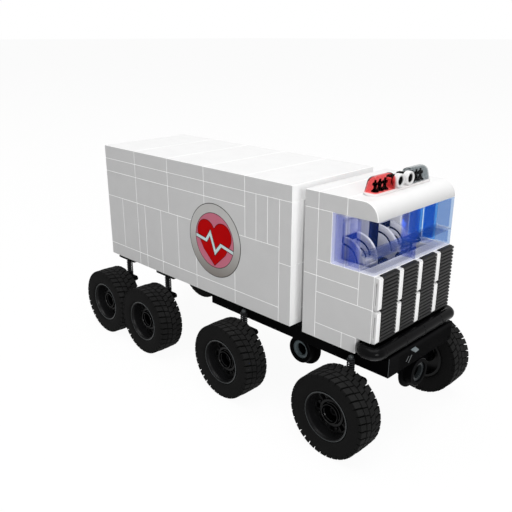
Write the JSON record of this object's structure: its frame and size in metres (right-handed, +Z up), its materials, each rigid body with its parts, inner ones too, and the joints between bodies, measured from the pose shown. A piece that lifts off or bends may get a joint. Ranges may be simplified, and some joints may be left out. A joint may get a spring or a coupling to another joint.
{
  "type": "toy ambulance",
  "caption": "White toy building-brick ambulance with a tiled load box, blue-glazed cab, roof light bar, sprung wheels and opening rear doors.",
  "frame": {"origin": "on the ground under the middle of the whole vehicle", "axes": "+X forward, +Y to the vehicle's left, +Z up"},
  "size_m": [0.2266, 0.097, 0.1282],
  "materials": {
    "white_plastic": "gloss",
    "black_plastic": "gloss",
    "grey_plastic": "satin",
    "blue_glass": "clear tinted plastic",
    "red_glass": "clear tinted plastic",
    "clear_glass": "clear plastic",
    "tyre_rubber": "matt rubber"
  },
  "bodies": {
    "vehicle": {"beacon_clear": "clear_glass", "beacon_pins": "black_plastic", "beacon_red": "red_glass", "box_floor": "white_plastic", "box_front_wall": "white_plastic", "box_roof": "white_plastic", "box_side_left": "white_plastic", "box_side_right": "white_plastic", "bumper_bar": "black_plastic", "bumper_beam": "black_plastic", "cab_back_wall": "white_plastic", "cab_deck": "white_plastic", "cab_floor": "white_plastic", "cab_front_wall": "white_plastic", "cab_roof": "white_plastic", "cab_seats": "white_plastic", "cab_side_left": "white_plastic", "cab_side_right": "white_plastic", "chassis_frame": "black_plastic", "coupling_rings": "grey_plastic", "dashboard": "black_plastic", "door_hinges": "grey_plastic", "front_coupling": "black_plastic", "grille_columns": "black_plastic", "grille_fins": "white_plastic", "hub_carriers": "black_plastic", "lamp_lenses": "black_plastic", "light_bar_base": "grey_plastic", "rear_axle_plates": "black_plastic", "roof_lamps": "grey_plastic", "side_coupling": "black_plastic", "side_window_left": "blue_glass", "side_window_right": "blue_glass", "steering_wheel": "black_plastic", "strut_rods": "black_plastic", "strut_springs": "grey_plastic", "stub_axles": "grey_plastic", "windscreen": "blue_glass"},
    "wheel_1_right": {"tyre_1_right": "tyre_rubber", "rim_1_right": "black_plastic"},
    "wheel_1_left": {"tyre_1_left": "tyre_rubber", "rim_1_left": "black_plastic"},
    "wheel_2_right": {"tyre_2_right": "tyre_rubber", "rim_2_right": "black_plastic"},
    "wheel_2_left": {"tyre_2_left": "tyre_rubber", "rim_2_left": "black_plastic"},
    "wheel_3_right": {"tyre_3_right": "tyre_rubber", "rim_3_right": "black_plastic"},
    "wheel_3_left": {"tyre_3_left": "tyre_rubber", "rim_3_left": "black_plastic"},
    "wheel_4_right": {"tyre_4_right": "tyre_rubber", "rim_4_right": "black_plastic"},
    "wheel_4_left": {"tyre_4_left": "tyre_rubber", "rim_4_left": "black_plastic"},
    "door_right": {"rear_door_right": "white_plastic", "rear_handle_right": "grey_plastic"},
    "door_left": {"rear_door_left": "white_plastic", "rear_handle_left": "grey_plastic"}
  },
  "joints": [
    {"name": "wheel_1_right_spin", "type": "hinge", "parent": "vehicle", "child": "wheel_1_right", "pos_m": [0.0926, -0.041, 0.0207], "axis": [0, 1, 0], "continuous": true},
    {"name": "wheel_1_left_spin", "type": "hinge", "parent": "vehicle", "child": "wheel_1_left", "pos_m": [0.0926, 0.041, 0.0207], "axis": [0, 1, 0], "continuous": true},
    {"name": "wheel_2_right_spin", "type": "hinge", "parent": "vehicle", "child": "wheel_2_right", "pos_m": [0.0206, -0.041, 0.0207], "axis": [0, 1, 0], "continuous": true},
    {"name": "wheel_2_left_spin", "type": "hinge", "parent": "vehicle", "child": "wheel_2_left", "pos_m": [0.0206, 0.041, 0.0207], "axis": [0, 1, 0], "continuous": true},
    {"name": "wheel_3_right_spin", "type": "hinge", "parent": "vehicle", "child": "wheel_3_right", "pos_m": [-0.0508, -0.041, 0.0207], "axis": [0, 1, 0], "continuous": true},
    {"name": "wheel_3_left_spin", "type": "hinge", "parent": "vehicle", "child": "wheel_3_left", "pos_m": [-0.0508, 0.041, 0.0207], "axis": [0, 1, 0], "continuous": true},
    {"name": "wheel_4_right_spin", "type": "hinge", "parent": "vehicle", "child": "wheel_4_right", "pos_m": [-0.0926, -0.041, 0.0207], "axis": [0, 1, 0], "continuous": true},
    {"name": "wheel_4_left_spin", "type": "hinge", "parent": "vehicle", "child": "wheel_4_left", "pos_m": [-0.0926, 0.041, 0.0207], "axis": [0, 1, 0], "continuous": true},
    {"name": "rear_door_right_hinge", "type": "hinge", "parent": "vehicle", "child": "door_right", "pos_m": [-0.1063, -0.024, 0.0842], "axis": [0, 0, 1], "range_deg": [0, 110]},
    {"name": "rear_door_left_hinge", "type": "hinge", "parent": "vehicle", "child": "door_left", "pos_m": [-0.1063, 0.024, 0.0842], "axis": [0, 0, -1], "range_deg": [0, 110]}
  ]
}
